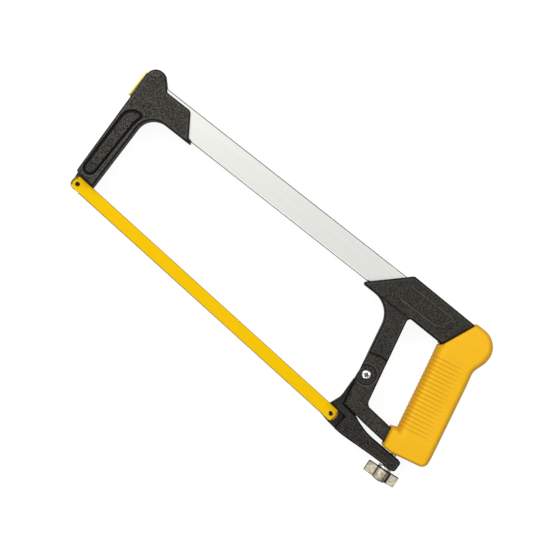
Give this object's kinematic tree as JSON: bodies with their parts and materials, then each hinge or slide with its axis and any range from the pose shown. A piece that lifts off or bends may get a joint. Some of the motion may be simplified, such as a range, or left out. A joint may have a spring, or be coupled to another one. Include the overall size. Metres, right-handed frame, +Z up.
{
  "type": "lever-tension hacksaw",
  "caption": "Hand hacksaw: rectangular tube back, cast ends, yellow blade on pegs, D-shaped rubber grip, and a wing nut on a stud that tensions the blade through a pivoting lever.",
  "frame": {"origin": "centre of the bounding box's bottom face; the saw lies on its far side with the grip's far flat face on the floor", "axes": "+X from the front (blade tip end) to the grip, +Y from the blade to the tube back, +Z up out of the saw's side"},
  "size_m": [0.4072, 0.1654, 0.029],
  "materials": {
    "tube": "pale silver coating on a rectangular tube",
    "front_casting": "black textured powder coat",
    "rear_casting": "black textured powder coat",
    "tension_lever": "black textured powder coat",
    "grip": "amber yellow soft moulded rubber",
    "storage_cap": "pale yellow moulded plastic",
    "blade": "yellow painted spring steel",
    "front_pin": "dark oiled steel",
    "rear_pin": "dark oiled steel",
    "pivot_screw": "bright zinc plate",
    "pivot_bush": "plain turned steel",
    "pivot_washer": "bright zinc plate",
    "pivot_nut": "bright zinc plate",
    "stud": "bright zinc plate",
    "anchor_nut": "bright zinc plate",
    "washer": "warm nickel plate",
    "wing_nut": "warm nickel plate",
    "front_fixing_screw": "zinc plate",
    "rear_fixing_screw_1": "zinc plate",
    "rear_fixing_screw_2": "zinc plate"
  },
  "bodies": {
    "frame": {"back_tube": "tube", "front_casting": "front_casting", "front_blade_pin": "front_pin", "front_casting_screw": "front_fixing_screw", "rear_casting": "rear_casting", "rear_casting_screw_1": "rear_fixing_screw_1", "rear_casting_screw_2": "rear_fixing_screw_2", "grip": "grip", "pivot_screw": "pivot_screw", "pivot_bush": "pivot_bush", "pivot_washer": "pivot_washer", "pivot_nut": "pivot_nut", "tension_stud": "stud", "stud_anchor_nut": "anchor_nut"},
    "lever": {"tension_lever": "tension_lever", "rear_blade_pin": "rear_pin"},
    "nut_washer": {"wing_nut_washer": "washer"},
    "wing_nut": {"wing_nut": "wing_nut"},
    "blade": {"blade": "blade"},
    "storage_cap": {"storage_cap": "storage_cap"}
  },
  "joints": [
    {"name": "nut_travel", "type": "slide", "parent": "frame", "child": "nut_washer", "axis": [0.0837, -0.9965, 0], "range_m": [0, 0.0041]},
    {"name": "wing_nut_turn", "type": "hinge", "parent": "nut_washer", "child": "wing_nut", "pos_m": [0.17518, -0.0554, 0.0145], "axis": [0.0837, -0.9965, 0], "range_deg": [0, 1440]},
    {"name": "lever_pivot", "type": "hinge", "parent": "frame", "child": "lever", "pos_m": [0.11238, -0.0153, 0.0145], "axis": [0, 0, -1], "range_deg": [0, 3.6]},
    {"name": "blade_lift", "type": "slide", "parent": "frame", "child": "blade", "axis": [0, 0, 1], "range_m": [0, 0.0102]},
    {"name": "storage_cap_pull", "type": "slide", "parent": "frame", "child": "storage_cap", "axis": [-1, 0, 0], "range_m": [0, 0.03]}
  ],
  "couplings": [
    {"joint": "nut_travel", "follows": "wing_nut_turn", "m_per_rad": 0.00015915},
    {"joint": "lever_pivot", "follows": "wing_nut_turn", "ratio": 0.0024669},
    {"joint": "blade_lift", "follows": "wing_nut_turn", "m_per_rad": 0.00039789}
  ]
}
